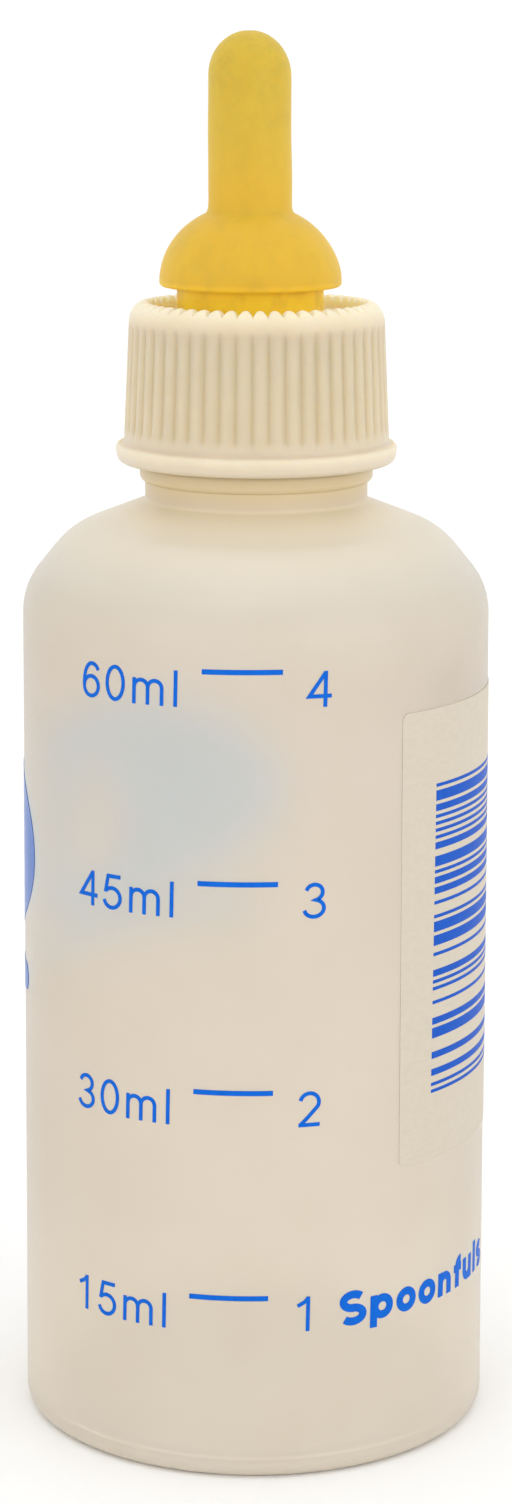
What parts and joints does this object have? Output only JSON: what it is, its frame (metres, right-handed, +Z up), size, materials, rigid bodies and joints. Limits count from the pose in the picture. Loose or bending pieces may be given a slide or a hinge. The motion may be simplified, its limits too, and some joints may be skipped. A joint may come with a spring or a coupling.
{
  "type": "animal feeding bottle",
  "caption": "Small squeeze bottle with a screw cap and a latex teat for hand-feeding young animals; the cap unscrews and lifts the teat.",
  "frame": {"origin": "centre of the base, on the surface that the bottle stands on", "axes": "+Z up along the bottle's axis to the teat's tip, -Y the side with the graduations, +X the side with the barcode label"},
  "size_m": [0.0361, 0.036, 0.1073],
  "materials": {
    "bottle": "translucent frosted squeeze plastic with blue printed graduations",
    "cap": "satin moulded ivory plastic",
    "teat": "translucent amber latex, satin",
    "label": "thin film with blue bars"
  },
  "bodies": {
    "bottle": {"bottle": "bottle", "barcode_label": "label"},
    "teat": {"teat": "teat"},
    "cap": {"screw_cap": "cap"}
  },
  "joints": [
    {"name": "closure_lift", "type": "slide", "parent": "bottle", "child": "teat", "axis": [0, 0, 1], "range_m": [0, 0.00476]},
    {"name": "cap_turn", "type": "hinge", "parent": "teat", "child": "cap", "pos_m": [0, 0, 0.08], "axis": [0, 0, 1], "range_deg": [0, 540]}
  ],
  "couplings": [
    {"joint": "closure_lift", "follows": "cap_turn", "m_per_rad": 0.00050531}
  ]
}
